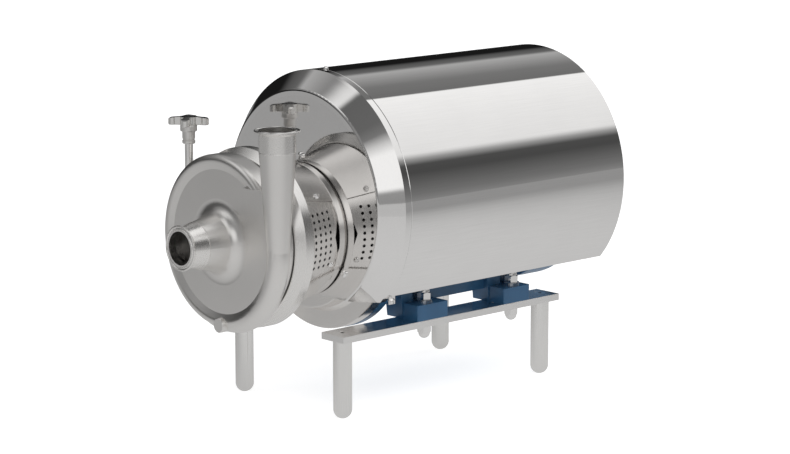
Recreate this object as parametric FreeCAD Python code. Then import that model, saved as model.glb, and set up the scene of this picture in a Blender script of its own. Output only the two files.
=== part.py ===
import FreeCAD, Part
import math
import os

# Sanitary centrifugal pump, close coupled to a shrouded motor on four legs. All sizes in mm.
# s is the distance behind the suction face along the shaft, r the distance from the shaft axis.
# In the shaft frame X is sideways, Y runs along s and Z is up.
# Every shape is moved to the shared frame (floor under the middle) on export.

# Overall
LENGTH = 699.0
SHAFT_H = 256.0
MID_S = LENGTH / 2.0

# Clamp ferrules, 2 inch tube
TUBE_R = 25.4
BORE_R = 23.75
LIP_R = 32.0
LIP_T = 2.85
LIP_BACK = 4.2
GROOVE_R = 28.3
GROOVE_HALF = 1.9
GROOVE_D = 1.5
SUCTION_STRAIGHT = 12.0

# Suction nozzle and casing
WELD_S = 27.6
WELD_R = 33.2
WALL = 3.5
NECK_S = 58.0
NECK_R = 39.7
DISC_S = 71.0
DISC_FILLET_R = 61.0
DISC_FLAT_R = 102.0
BEAD_S = 75.5
BEAD_RC = 114.0
BEAD_R = 9.0
CASE_R = BEAD_RC + BEAD_R
CASE_BACK_S = 98.0
RIM_R = 114.0
JOINT_S = 125.0
JOINT_R = 120.0
RIM_BORE_R = 110.0

# Volute: angle, centre radius and tube radius of each section, seen along +Y from the suction side
VOLUTE_S = 82.5
VOLUTE = [(-140, 113.5, 8.0), (-115, 113.8, 11.5), (-90, 114.2, 14.5), (-62, 114.6, 15.9),
          (-32, 114.2, 16.2), (0, 112.0, 16.0)]
DISCHARGE_X = 112.0
DISCHARGE_TOP = 169.0
CONE_TOP = 138.0
WEB_X0 = 52.0
WEB_TOP = 84.0
WEB_FRONT_S = VOLUTE_S - VOLUTE[-1][2]
DRAIN_X = 5.8
DRAIN_Z = -117.0
DRAIN_R = 10.5
DRAIN_FACE_S = 61.5

# Clamp ring and its screw
RING_R = 128.0
RING_IN_R = 116.0
RING_S0 = 109.4
RING_S1 = 119.9
RING_MID_S = 127.0
RING_SPLIT = 7.0
LUG_OUT = 151.0
LUG_HALF_S = 9.5
LUG_TOP = 25.0
SCREW_X = -136.0
SCREW_R = 6.0
RUN = 0.06
SHOULDER_Z = 28.2
SCREW_LOW = -58.0
HUB_LOW = 117.5
HUB_MID = 135.5
KNOB_LOW = 144.5
KNOB_TOP = 157.0
KNOB_END_H = 10.2
KNOB_R = 29.5

# Lantern between casing and motor: tapered front drum with a collar, then a neck through the plate
BACK_FLANGE_T = 4.0
LANTERN_S = JOINT_S + BACK_FLANGE_T
TAPER_S = 174.7
TAPER_R = 106.3
TAPER_SLOPE = 0.273
DRUM_WALL = 9.0
COLLAR_S = 209.4
COLLAR_END_S = 219.5
COLLAR_R = 97.0
THROAT_R = 91.0
PLATE_S = 222.5
PLATE_T = 2.0
PLATE_PCR = 105.0
INNER_FLANGE_R = 115.0
INNER_FLANGE_T = 6.5
FLANGE_S = 253.0
BELL_R1 = 124.2
FLANGE_R = 149.5
MOTOR_S = 272.0
SPIGOT_R = 115.0
SPIGOT_T = 4.0

# Perforated guards, sunk into the drum's two side windows
SHEET = 1.5
SHEET_SUNK = 3.0
HOLE_R = 2.35
HOLE_S = (154.85, 166.8, 178.75, 190.7)
HOLE_ROWS = 9
HOLE_Z = 2.5
HOLE_PITCH = 9.3
GUARD_S0 = 147.5
GUARD_S1 = 201.5
GAP_LOW = -26.0
GAP_HIGH = 31.0
GUARD_LOW = -30.0
GUARD_HIGH = 32.6

# Shroud
SHROUD_R = 187.0
SHROUD_UP = 38.5
SHROUD_T = 2.0
SEAM_S = 263.0
PLATE_R = SHROUD_R - 35.0
FLAT_R = SHROUD_R - 28.15
BEVEL_S = 248.5
BEVEL_R = SHROUD_R - 2.8
BAND_S = 251.0
SHROUD_CUT = -84.0
BEVEL_CUT = -92.0

# Motor, frame size 132: shaft height 132, feet 216 across and 178 along, flange 300
MOTOR_FLANGE_R = 150.0
MOTOR_FLANGE_T = 14.0
STUD_PCR = 132.5
MOTOR_SHAFT_R = 19.0
MOTOR_SHAFT_L = 80.0
FRAME_S0 = 308.0
FRAME_S1 = 612.0
FRAME_R = 121.0
FIN_R = FRAME_R + 7.0
REAR_S = 630.0
COWL_S = 688.0
COWL_R = FRAME_R + 4.5
FOOT_X = 108.0
FOOT_Z = -132.0
FOOT_H = 23.0
FOOT_S = (361.5, 539.5)
FOOT_OUT = 131.0

# Base bars and legs
BAR_W = 47.5
BAR_T = 10.0
BAR_S0 = 184.4
BAR_S1 = 618.4
LEG_R = 13.5
LEG_S = (203.2, 601.2)
M12_R = 6.0
HOLE12_R = 6.5
NUT_AF = 19.0

os.makedirs("parts", exist_ok=True)


def vec(x, s, z):
    return FreeCAD.Vector(x, s, z)


def save(name, shape):
    moved = shape.copy()
    moved.translate(FreeCAD.Vector(0, -MID_S, SHAFT_H))
    moved.exportStep("parts/" + name + ".step")


def merge(shapes):
    first = shapes[0]
    for other in shapes[1:]:
        first = first.fuse(other)
    return first.removeSplitter()


def turned(points, up=0.0):
    # A closed outline of (s, r) points turned about the shaft line.
    # A triple (s, r, "m") is the middle of an arc.
    edges = []
    last = points[0]
    i = 1
    loop = points + [points[0]]
    while i < len(loop):
        here = loop[i]
        if len(here) == 3:
            end = loop[i + 1]
            ends = [vec(p[1], p[0], 0) for p in (last, here, end)]
            edges.append(Part.Arc(ends[0], ends[1], ends[2]).toShape())
            last = end
            i = i + 2
        else:
            edges.append(Part.makeLine(vec(last[1], last[0], 0), vec(here[1], here[0], 0)))
            last = here
            i = i + 1
    solid = Part.Face(Part.Wire(edges)).revolve(vec(0, 0, 0), vec(0, 1, 0), 360)
    solid.translate(vec(0, 0, up))
    return solid


def disc(s0, s1, r, x=0.0, z=0.0):
    return Part.makeCylinder(r, s1 - s0, vec(x, s0, z), vec(0, 1, 0))


def tube(s0, s1, r_out, r_in, x=0.0, z=0.0):
    return disc(s0, s1, r_out, x, z).cut(disc(s0 - 1, s1 + 1, r_in, x, z))


def post(z0, z1, r, x, s):
    return Part.makeCylinder(r, z1 - z0, vec(x, s, z0), vec(0, 0, 1))


def block(x0, x1, s0, s1, z0, z1):
    return Part.makeBox(x1 - x0, s1 - s0, z1 - z0, vec(x0, s0, z0))


def radial(angle, s, r0, r1, rad):
    a = math.radians(angle)
    return Part.makeCylinder(rad, r1 - r0, vec(r0 * math.cos(a), s, r0 * math.sin(a)),
                             vec(math.cos(a), 0, math.sin(a)))


def sector(s0, s1, r0, r1, a0, a1):
    # Part of a tube wall between two angles, in degrees from +X towards +Z.
    mid = math.radians((a0 + a1) / 2.0)

    def arc(r, p, q):
        ends = [vec(r * math.cos(math.radians(a)), s0, r * math.sin(math.radians(a))) for a in (p, q)]
        return Part.Arc(ends[0], vec(r * math.cos(mid), s0, r * math.sin(mid)), ends[1]).toShape()
    outer = arc(r1, a0, a1)
    inner = arc(r0, a1, a0)
    side1 = Part.makeLine(outer.lastVertex(True).Point, inner.firstVertex(True).Point)
    side2 = Part.makeLine(inner.lastVertex(True).Point, outer.firstVertex(True).Point)
    return Part.Face(Part.Wire([outer, side1, inner, side2])).extrude(vec(0, s1 - s0, 0))


def prism(across, height, z0, x, s, turn=0.0):
    # A hexagon standing on z0, given by its width across flats.
    big = across / math.sqrt(3.0)
    pts = []
    for k in range(7):
        a = math.radians(60 * k + turn)
        pts.append(vec(x + big * math.cos(a), s + big * math.sin(a), z0))
    return Part.Face(Part.makePolygon(pts)).extrude(vec(0, 0, height))


def hex_cut(across, z0, z1, x, s, turn, top):
    # Hexagon with the corner chamfer of a nut on one end.
    body = prism(across, z1 - z0, z0, x, s, turn)
    big = across / math.sqrt(3.0)
    drop = 1.6
    if top:
        low = post(z0, z1 - drop, big + 1.0, x, s)
        cap = Part.makeCone(big + 0.15, across / 2.0 - 0.4, drop, vec(x, s, z1 - drop))
        return body.common(low.fuse(cap))
    low = post(z0 + drop, z1, big + 1.0, x, s)
    cap = Part.makeCone(across / 2.0 - 0.4, big + 0.15, drop, vec(x, s, z0))
    return body.common(low.fuse(cap))


def dome_nut(x, s, seat, up):
    # Closed cap nut: hexagon with a domed end, facing up or down from its seat.
    hexa = hex_cut(NUT_AF, seat, seat + 11.0, x, s, 12, True)
    ball = Part.makeSphere(8.6, vec(x, s, seat + 11.2)).common(post(seat + 6.0, seat + 30.0, 9.0, x, s))
    nut = merge([hexa, ball])
    nut = nut.cut(post(seat - 1.0, seat + 9.0, M12_R + 0.1, x, s))
    if up:
        return nut
    return nut.mirror(vec(x, s, seat), vec(0, 0, 1))


def mirrored(shape):
    return shape.mirror(vec(0, 0, 0), vec(1, 0, 0))


# Suction ferrule: gasket groove, clamp lip and widening neck

suction_ferrule = turned([
    (0, BORE_R), (0, GROOVE_R - GROOVE_HALF), (GROOVE_D, GROOVE_R, "m"), (0, GROOVE_R + GROOVE_HALF),
    (0, LIP_R - 1.2), (0.35, LIP_R - 0.35, "m"), (1.2, LIP_R), (LIP_T - 0.5, LIP_R), (LIP_T, LIP_R - 0.5),
    (LIP_BACK, 28.7), (5.6, 28.3),
    (WELD_S - 0.4, WELD_R), (WELD_S, WELD_R - 0.4), (WELD_S, WELD_R - WALL), (SUCTION_STRAIGHT, BORE_R)])
save("suction_ferrule", suction_ferrule)

# Discharge ferrule on top of the cone

ferrule_up = turned([
    (0, BORE_R), (0, GROOVE_R - GROOVE_HALF), (GROOVE_D, GROOVE_R, "m"), (0, GROOVE_R + GROOVE_HALF),
    (0, LIP_R - 1.2), (0.35, LIP_R - 0.35, "m"), (1.2, LIP_R), (LIP_T - 0.5, LIP_R), (LIP_T, LIP_R - 0.5),
    (LIP_BACK, 27.6), (6.2, TUBE_R),
    (DISCHARGE_TOP - CONE_TOP - 0.4, TUBE_R), (DISCHARGE_TOP - CONE_TOP, TUBE_R - 0.4),
    (DISCHARGE_TOP - CONE_TOP, BORE_R)])
ferrule_up.rotate(vec(0, 0, 0), vec(1, 0, 0), -90)
ferrule_up.translate(vec(DISCHARGE_X, VOLUTE_S, DISCHARGE_TOP))
save("discharge_ferrule", ferrule_up)

# Volute casing


def bead_point(rad, deg):
    a = math.radians(deg)
    return (BEAD_S - rad * math.cos(a), BEAD_RC + rad * math.sin(a))


def bead_mid(rad, deg):
    p = bead_point(rad, deg)
    return (p[0], p[1], "m")


shell_out = turned([
    (WELD_S, 0), (WELD_S, WELD_R - 0.4), (WELD_S + 0.4, WELD_R), (NECK_S, NECK_R),
    (67.3, 46.2, "m"), (DISC_S, DISC_FILLET_R), (DISC_S, DISC_FLAT_R), bead_point(BEAD_R, -25),
    bead_mid(BEAD_R, 32), (BEAD_S, CASE_R), (CASE_BACK_S - 1.0, CASE_R), (CASE_BACK_S, CASE_R - 1.0),
    (CASE_BACK_S, RIM_R), (JOINT_S - 8.6, RIM_R), (JOINT_S - 7.6, RIM_R + 1.4), (JOINT_S - 3.0, JOINT_R),
    (JOINT_S, JOINT_R), (JOINT_S, 0)])
shell_in = turned([
    (WELD_S - 1, 0), (WELD_S - 1, WELD_R - WALL), (WELD_S, WELD_R - WALL), (NECK_S, NECK_R - WALL),
    (69.8, 42.2, "m"), (DISC_S + 4, DISC_FILLET_R - 3), (DISC_S + 4, DISC_FLAT_R + 0.6),
    bead_point(BEAD_R - WALL, -25), bead_mid(BEAD_R - WALL, 32), (BEAD_S, CASE_R - WALL),
    (CASE_BACK_S - 4, CASE_R - WALL), (CASE_BACK_S - 4, RIM_BORE_R), (JOINT_S + 1, RIM_BORE_R),
    (JOINT_S + 1, 0)])


def spiral(shrink):
    wires = []
    for deg, rc, rt in VOLUTE:
        a = math.radians(deg)
        centre = vec(rc * math.cos(a), VOLUTE_S, rc * math.sin(a))
        along = vec(-math.sin(a), 0, math.cos(a))
        wires.append(Part.Wire(Part.makeCircle(rt - shrink, centre, along)))
    return Part.makeLoft(wires, True, False)


throat = VOLUTE[-1][2]
cone_out = Part.makeCone(throat, TUBE_R, CONE_TOP, vec(DISCHARGE_X, VOLUTE_S, 0))
cone_in = Part.makeCone(throat - WALL, BORE_R, CONE_TOP, vec(DISCHARGE_X, VOLUTE_S, 0))
web = block(WEB_X0, DISCHARGE_X, WEB_FRONT_S, CASE_BACK_S, 8, WEB_TOP)
web = web.cut(disc(WEB_FRONT_S - 1, DISC_S, 101.0))
drain = disc(DRAIN_FACE_S, DISC_S + 14, DRAIN_R, DRAIN_X, DRAIN_Z)
drain = drain.makeChamfer(0.8, [e for e in drain.Edges if abs(e.BoundBox.YMax - DRAIN_FACE_S) < 1e-6])
casing = shell_out.fuse([spiral(0.0), cone_out, web, drain])
casing = casing.cut(shell_in.fuse([spiral(WALL), cone_in]))
casing = casing.removeSplitter()
save("casing", casing)

# Back plate with the seal seat, and its ring seal

back_plate = turned([
    (104, 27), (104, 109.0), (105, 109.8), (113.6, 109.8), (113.6, 107.2), (117.4, 107.2), (117.4, 109.8),
    (JOINT_S, 109.8), (JOINT_S, JOINT_R), (LANTERN_S, JOINT_R), (LANTERN_S, 101), (113, 99), (112, 44),
    (134, 42), (134, 27)])
save("back_plate", back_plate)
save("casing_seal", turned([(114.2, 107.75), (114.2, 109.45), (114.7, 109.95), (116.3, 109.95),
                            (116.8, 109.45), (116.8, 107.75), (116.3, 107.25), (114.7, 107.25)]))

# Mechanical seal and pump shaft

SHAFT_R = 15.0
EYE_S = 80.0
save("seal_seat", turned([(104.2, 17), (104.2, 24), (107, 26.9), (116, 26.9), (116, 17)]))
save("seal_face", turned([(116, 16.2), (116, 23), (119, 23), (119, 25.2), (126, 25.2), (126, SHAFT_R + 0.05),
                          (119, SHAFT_R + 0.05), (119, 16.2)]))
fold = [(126, SHAFT_R + 1.0), (126, 24)]
for k in range(4):
    at = 128.4 + 3.4 * k
    fold = fold + [(at, 24), (at + 0.6, 18.6), (at + 1.5, 18.6), (at + 2.1, 24)]
fold = fold + [(142, 24), (142, 25), (143, 26), (151, 26), (152, 25), (152, SHAFT_R + 0.05),
               (142, SHAFT_R + 0.05), (142, SHAFT_R + 1.0)]
save("seal_bellows", turned(fold))

pump_shaft = turned([
    (EYE_S + 1, 0), (EYE_S + 1, 11), (103, 11), (103, SHAFT_R), (158, SHAFT_R), (160, 22), (180, 22),
    (186, 31), (266, 31), (268, 29), (268, MOTOR_SHAFT_R + 0.05), (190, MOTOR_SHAFT_R + 0.05), (190, 0)])
slot = block(-5.05, 5.05, 215, 269, 0, 22.4)
pump_shaft = pump_shaft.cut(slot)
thread = disc(70.0, EYE_S + 1, 8.0)
save("pump_shaft", merge([pump_shaft, thread]))
save("shaft_key", block(-5, 5, 216, 262, 14.1, 22.2))
grip = tube(228, 250, 44, 31.05)
grip = grip.cut(block(-1.5, 1.5, 220, 260, -60, -20))
for side in (-1, 1):
    grip = grip.cut(Part.makeCylinder(3.3, 120, vec(-60, 239 + 5 * side, -37.4), vec(1, 0, 0)))
save("grip_ring", grip)

# Impeller: back disc with curved vanes, and its cap nut

DISC_OUT = 99.0
hub = turned([(EYE_S, 11.06), (EYE_S, 17), (86, 21), (93, 30), (97.5, 46), (98.6, DISC_OUT),
              (101.8, DISC_OUT), (101.8, 21), (103, 21), (103, 11.06)])
VANES = 6


def vane(turn):
    inner = []
    outer = []
    for k in range(9):
        t = k / 8.0
        rad = 24.0 + (DISC_OUT - 24.0) * t
        a = math.radians(turn - 78.0 * t ** 0.8)
        half = 1.4 + 0.9 * t
        da = half / rad
        inner.append(vec(rad * math.cos(a - da), 77.2, rad * math.sin(a - da)))
        outer.append(vec(rad * math.cos(a + da), 77.2, rad * math.sin(a + da)))
    side_a = Part.BSplineCurve()
    side_a.interpolate(inner)
    side_b = Part.BSplineCurve()
    side_b.interpolate(list(reversed(outer)))
    wire = Part.Wire([side_a.toShape(), Part.makeLine(inner[-1], outer[-1]), side_b.toShape(),
                      Part.makeLine(outer[0], inner[0])])
    return Part.Face(wire).extrude(vec(0, 22.6, 0))


blades = [vane(360.0 / VANES * k) for k in range(VANES)]
impeller = hub.fuse(blades).cut(disc(60, 110, 11.06)).removeSplitter()
save("impeller", impeller)
impeller_nut = Part.makeSphere(16.0, vec(0, EYE_S, 0)).common(disc(60, EYE_S, 15.5))
save("impeller_nut", impeller_nut.cut(disc(70, 90, 8.05)))

# Clamp ring: one band, split at -X, with two lugs

half_w = RING_MID_S - RING_S0
flat_w = RING_MID_S - RING_S1
ring = turned([
    (RING_MID_S - half_w, RING_IN_R + 0.8), (RING_MID_S - half_w + 0.8, RING_IN_R + 1.8),
    (RING_MID_S - flat_w, RING_R), (RING_MID_S + flat_w, RING_R),
    (RING_MID_S + half_w - 0.8, RING_IN_R + 1.8), (RING_MID_S + half_w, RING_IN_R + 0.8),
    (RING_MID_S + half_w, RING_IN_R - 1.2), (RING_MID_S + 9.6, RING_IN_R - 1.2),
    (RING_MID_S + 5.1, JOINT_R + 0.25), (RING_MID_S + 5.1, JOINT_R + 2.4),
    (RING_MID_S - 5.1, JOINT_R + 2.4), (RING_MID_S - 5.1, JOINT_R + 0.25),
    (RING_MID_S - 9.6, RING_IN_R - 0.35), (RING_MID_S - half_w, RING_IN_R - 0.35)])
lug = block(-LUG_OUT, -121.5, RING_MID_S - LUG_HALF_S, RING_MID_S + LUG_HALF_S, RING_SPLIT, LUG_TOP)
lug_edges = [e for e in lug.Edges if abs(e.BoundBox.XMax + LUG_OUT) < 1e-6 and e.BoundBox.ZLength > 1]
lug = lug.makeFillet(6.0, lug_edges)
lug_low = lug.mirror(vec(0, 0, 0), vec(0, 0, 1))
inside = disc(100, 150, JOINT_R + 2.4)
ring = ring.fuse([lug.cut(inside), lug_low.cut(inside)])
ring = ring.cut(block(-170, -100, 100, 150, -RING_SPLIT, RING_SPLIT))
ring = ring.cut(post(-30, 30, SCREW_R + 1.0, SCREW_X, RING_MID_S))
seats = post(LUG_TOP, LUG_TOP + 16, 13.2, SCREW_X, RING_MID_S)
ring = ring.cut(seats.fuse(post(-LUG_TOP - 16, -LUG_TOP, 13.2, SCREW_X, RING_MID_S)))
save("clamp_ring", ring.removeSplitter())
clamp_nut = hex_cut(NUT_AF, -LUG_TOP - 10.5, -LUG_TOP, SCREW_X, RING_MID_S, 30, False)
save("clamp_nut", clamp_nut.cut(post(-60, 0, SCREW_R + RUN, SCREW_X, RING_MID_S)))

# Clamp screw with captive washer, hub, four-armed knob and cap


def pole(points):
    part = turned(points)
    part.rotate(vec(0, 0, 0), vec(1, 0, 0), 90)
    part.translate(vec(SCREW_X, RING_MID_S, 0))
    return part


washer = pole([(LUG_TOP, SCREW_R + 0.1), (LUG_TOP, 12), (LUG_TOP + 0.5, 12.5), (LUG_TOP + 2.4, 12.5),
               (LUG_TOP + 3.0, 12), (LUG_TOP + 3.0, SCREW_R + 0.1), (LUG_TOP + 2.0, SCREW_R + 0.1),
               (LUG_TOP + 2.0, SCREW_R - 0.6), (LUG_TOP + 1.0, SCREW_R - 0.6),
               (LUG_TOP + 1.0, SCREW_R + 0.1)])
save("clamp_washer", washer)
screw = pole([(SCREW_LOW, 0), (SCREW_LOW, SCREW_R - 1), (SCREW_LOW + 1, SCREW_R), (LUG_TOP + 0.9, SCREW_R),
              (LUG_TOP + 0.9, SCREW_R - 0.7), (LUG_TOP + 2.1, SCREW_R - 0.7), (LUG_TOP + 2.1, SCREW_R),
              (SHOULDER_Z, SCREW_R), (SHOULDER_Z, 8.5), (SHOULDER_Z + 1, 9.5), (SHOULDER_Z + 7, 9.5),
              (SHOULDER_Z + 9, 8), (SHOULDER_Z + 9, SCREW_R), (HUB_LOW + 14, SCREW_R), (HUB_LOW + 14, 0)])
save("clamp_screw", screw)
knob_hub = pole([(HUB_LOW, SCREW_R + 0.05), (HUB_LOW, 8.6), (HUB_LOW + 1.2, 9.4), (HUB_LOW + 4.6, 9.4),
                 (HUB_LOW + 5.2, 8.2), (HUB_LOW + 6.8, 8.2), (HUB_LOW + 7.4, 9.3), (HUB_MID, 9.3),
                 (HUB_MID, 11.6), (HUB_MID + 1, 12.2), (KNOB_LOW - 1, 12.2), (KNOB_LOW, 11.6),
                 (KNOB_LOW, 0), (HUB_LOW + 14, 0), (HUB_LOW + 14, SCREW_R + 0.05)])
save("knob_hub", knob_hub)
arms = []
for k in range(4):
    a = math.radians(90 * k + 40)
    end = Part.makeCylinder(6.2, KNOB_TOP - KNOB_LOW, vec(23.3 * math.cos(a), 23.3 * math.sin(a), KNOB_LOW))
    bar = Part.makeBox(23.3, 9.2, KNOB_TOP - KNOB_LOW, vec(0, -4.6, KNOB_LOW))
    bar.rotate(vec(0, 0, 0), vec(0, 0, 1), 90 * k + 40)
    arms = arms + [end, bar]
boss = Part.makeCylinder(12.5, KNOB_TOP - KNOB_LOW, vec(0, 0, KNOB_LOW))
knob = boss.fuse(arms).removeSplitter()
low_rim = [e for e in knob.Edges if e.BoundBox.ZMax < KNOB_LOW + 0.01]
knob = knob.makeChamfer(1.0, low_rim)
dome = Part.makeCylinder(KNOB_R + 1, KNOB_END_H - 2.2, vec(0, 0, KNOB_LOW))
dome = dome.fuse(Part.makeCone(KNOB_R + 1, KNOB_R - 2.5, 2.4, vec(0, 0, KNOB_LOW + KNOB_END_H - 2.2)))
dome = dome.fuse(Part.makeCone(KNOB_R - 2.5, 9.0, KNOB_TOP - KNOB_LOW - KNOB_END_H - 0.2,
                               vec(0, 0, KNOB_LOW + KNOB_END_H + 0.2)))
knob = knob.common(dome.removeSplitter())
knob = knob.cut(Part.makeCylinder(8.0, 4.0, vec(0, 0, KNOB_TOP - 3.0)))
knob.translate(vec(SCREW_X, RING_MID_S, 0))
save("knob", knob)
knob_cap = pole([(KNOB_TOP - 3.0, 0), (KNOB_TOP - 3.0, 7.9), (KNOB_TOP + 2.3, 7.9), (KNOB_TOP + 2.3, 0)])
knob_cap = knob_cap.common(Part.makeSphere(19.2, vec(SCREW_X, RING_MID_S, KNOB_TOP - 16.9)))
save("knob_cap", knob_cap)

# Lantern front drum: tapered, with a collar at its rear end


def taper(s0, s1, out):
    # A solid cone of the drum's own taper, grown or shrunk by out.
    r0 = TAPER_R - TAPER_SLOPE * (s0 - TAPER_S) + out
    r1 = TAPER_R - TAPER_SLOPE * (s1 - TAPER_S) + out
    return Part.makeCone(r0, r1, s1 - s0, vec(0, s0, 0), vec(0, 1, 0))


def drum_r(s, out=0.0):
    return TAPER_R - TAPER_SLOPE * (s - TAPER_S) + out


front_drum = turned([
    (LANTERN_S, 46), (LANTERN_S, JOINT_R), (LANTERN_S + 3.0, JOINT_R), (LANTERN_S + 7.4, RIM_R + 0.4),
    (LANTERN_S + 8.4, RIM_R - 2), (LANTERN_S + 16.6, RIM_R - 2), (LANTERN_S + 17.6, drum_r(LANTERN_S + 17.6)),
    (COLLAR_S - 0.6, drum_r(COLLAR_S)), (COLLAR_S, COLLAR_R), (COLLAR_END_S - 1, COLLAR_R),
    (COLLAR_END_S, COLLAR_R - 1), (COLLAR_END_S, THROAT_R - DRUM_WALL),
    (COLLAR_S, drum_r(COLLAR_S, -DRUM_WALL)), (LANTERN_S + 20, drum_r(LANTERN_S + 20, -DRUM_WALL)),
    (LANTERN_S + 8, 99), (LANTERN_S + 8, 46)])
pocket = taper(GUARD_S0, COLLAR_S - 0.4, 5).cut(taper(GUARD_S0 - 1, COLLAR_S, -SHEET_SUNK - SHEET))
pocket = pocket.common(sector(GUARD_S0, COLLAR_S - 0.4, 40, 160, GUARD_LOW, GUARD_HIGH))
window = sector(GUARD_S0 + 3.5, HOLE_S[-1] + 3.2, 60, 140, GUARD_LOW + 4.5, GUARD_HIGH - 4.5)
notch = block(60, 140, HOLE_S[-1], COLLAR_S - 0.4, GAP_LOW + 2, GAP_HIGH - 2)
openings = [pocket, window, notch]
front_drum = front_drum.cut(openings[0].fuse(openings[1:]))
front_drum = front_drum.cut(mirrored(openings[0].fuse(openings[1:])))

# Rear drum: neck through the plate, inner flange for the plate screws, bell and motor flange

rear_drum = turned([
    (COLLAR_END_S, THROAT_R - DRUM_WALL), (COLLAR_END_S, THROAT_R), (PLATE_S + PLATE_T, THROAT_R),
    (PLATE_S + PLATE_T, INNER_FLANGE_R - 1), (PLATE_S + PLATE_T + 1, INNER_FLANGE_R),
    (PLATE_S + PLATE_T + INNER_FLANGE_T, INNER_FLANGE_R), (FLANGE_S - 8, BELL_R1 - 6), (FLANGE_S, BELL_R1),
    (FLANGE_S, FLANGE_R - 1), (FLANGE_S + 1, FLANGE_R), (MOTOR_S - 0.6, FLANGE_R), (MOTOR_S, FLANGE_R - 0.6),
    (MOTOR_S, SPIGOT_R + 0.05), (MOTOR_S - SPIGOT_T - 0.5, SPIGOT_R + 0.05), (MOTOR_S - SPIGOT_T - 0.5, 112),
    (FLANGE_S - 14, 102), (PLATE_S + PLATE_T + 3, THROAT_R - DRUM_WALL)])
STUD_ANGLES = (45, 135, 225, 315)
stud_holes = []
for angle in STUD_ANGLES:
    a = math.radians(angle)
    stud_holes.append(disc(FLANGE_S + 3, 300, HOLE12_R - 0.4, STUD_PCR * math.cos(a), STUD_PCR * math.sin(a)))
rear_drum = rear_drum.cut(stud_holes[0].fuse(stud_holes[1:]))


def pan_screw(angle, s, base, head_r, head_h, shank, centre_up=0.0):
    a = math.radians(angle)
    head = turned([(0, 0), (0, head_r), (head_h * 0.45, head_r), (head_h, head_r * 0.55), (head_h, 0)])
    stem = disc(-shank, 0, head_r * 0.55)
    both = head.fuse(stem).removeSplitter()
    cross = block(-head_r * 0.62, head_r * 0.62, head_h - 1.2, head_h + 1, -0.55, 0.55)
    cross = cross.fuse(block(-0.55, 0.55, head_h - 1.2, head_h + 1, -head_r * 0.62, head_r * 0.62))
    both = both.cut(cross)
    both.rotate(vec(0, 0, 0), vec(0, 0, 1), -90)
    both.rotate(vec(0, 0, 0), vec(0, 1, 0), -angle)
    both.translate(vec(base * math.cos(a), s, base * math.sin(a) + centre_up))
    return both


# Three screws through the front plate, facing forwards


def face_screw(angle, pitch, s, head_r, head_h, shank):
    a = math.radians(angle)
    both = turned([(shank, 0), (shank, head_r * 0.55), (0, head_r * 0.55), (0, head_r),
                   (-head_h * 0.45, head_r), (-head_h, head_r * 0.55), (-head_h, 0)])
    arm = head_r * 0.62
    cross = block(-arm, arm, -head_h - 1, -head_h + 1.4, -0.7, 0.7)
    cross = cross.fuse(block(-0.7, 0.7, -head_h - 1, -head_h + 1.4, -arm, arm))
    both = both.cut(cross)
    both.translate(vec(pitch * math.cos(a), s, pitch * math.sin(a)))
    return both


plate_screws = [face_screw(angle, PLATE_PCR, PLATE_S, 5.7, 4.0, 8.0) for angle in (90, -30, 210)]
save("collar_screws", Part.makeCompound(plate_screws))
for screw in plate_screws:
    rear_drum = rear_drum.cut(screw)
save("rear_drum", rear_drum.removeSplitter())

# Perforated guard sheets in the drum's pockets, with their screws

guard = taper(GUARD_S0, COLLAR_S, -SHEET_SUNK).cut(taper(GUARD_S0 - 1, COLLAR_S + 1, -SHEET_SUNK - SHEET))
guard = guard.common(sector(GUARD_S0 + 0.2, COLLAR_S - 0.6, 40, 160, GUARD_LOW + 0.2, GUARD_HIGH - 0.2))
gap = Part.Face(Part.makePolygon([vec(60, COLLAR_S + 1, GAP_LOW), vec(60, GUARD_S1, HOLE_Z),
                                  vec(60, COLLAR_S + 1, GAP_HIGH), vec(60, COLLAR_S + 1, GAP_LOW)]))
guard = guard.cut(gap.extrude(vec(80, 0, 0)))
holes = []
for s in HOLE_S:
    for k in range(HOLE_ROWS):
        z = HOLE_Z + HOLE_PITCH * (k - (HOLE_ROWS - 1) / 2.0)
        angle = math.degrees(math.asin(z / drum_r(s, -SHEET_SUNK)))
        holes.append(radial(angle, s, 80, 130, HOLE_R))
guard = guard.cut(holes[0].fuse(holes[1:]))
small = [pan_screw(36.5, 175.6, drum_r(175.6) - 0.8, 4.3, 4.4, 6.0),
         pan_screw(-22.0, 198.4, drum_r(198.4, -SHEET_SUNK) - 0.8, 4.3, 4.2, 5.0)]
guard = guard.cut(small[1])
save("guard_front_r", guard)
save("guard_front_l", mirrored(guard))
both_sides = small + [mirrored(p) for p in small]
for p in both_sides:
    front_drum = front_drum.cut(p)
save("guard_screws", Part.makeCompound(both_sides))
save("front_drum", front_drum.removeSplitter())

# Mirror plate and front ring of the shroud

def above(z, s0, s1, r=260.0):
    return block(-r, r, s0, s1, z, z + 2 * r)


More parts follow.
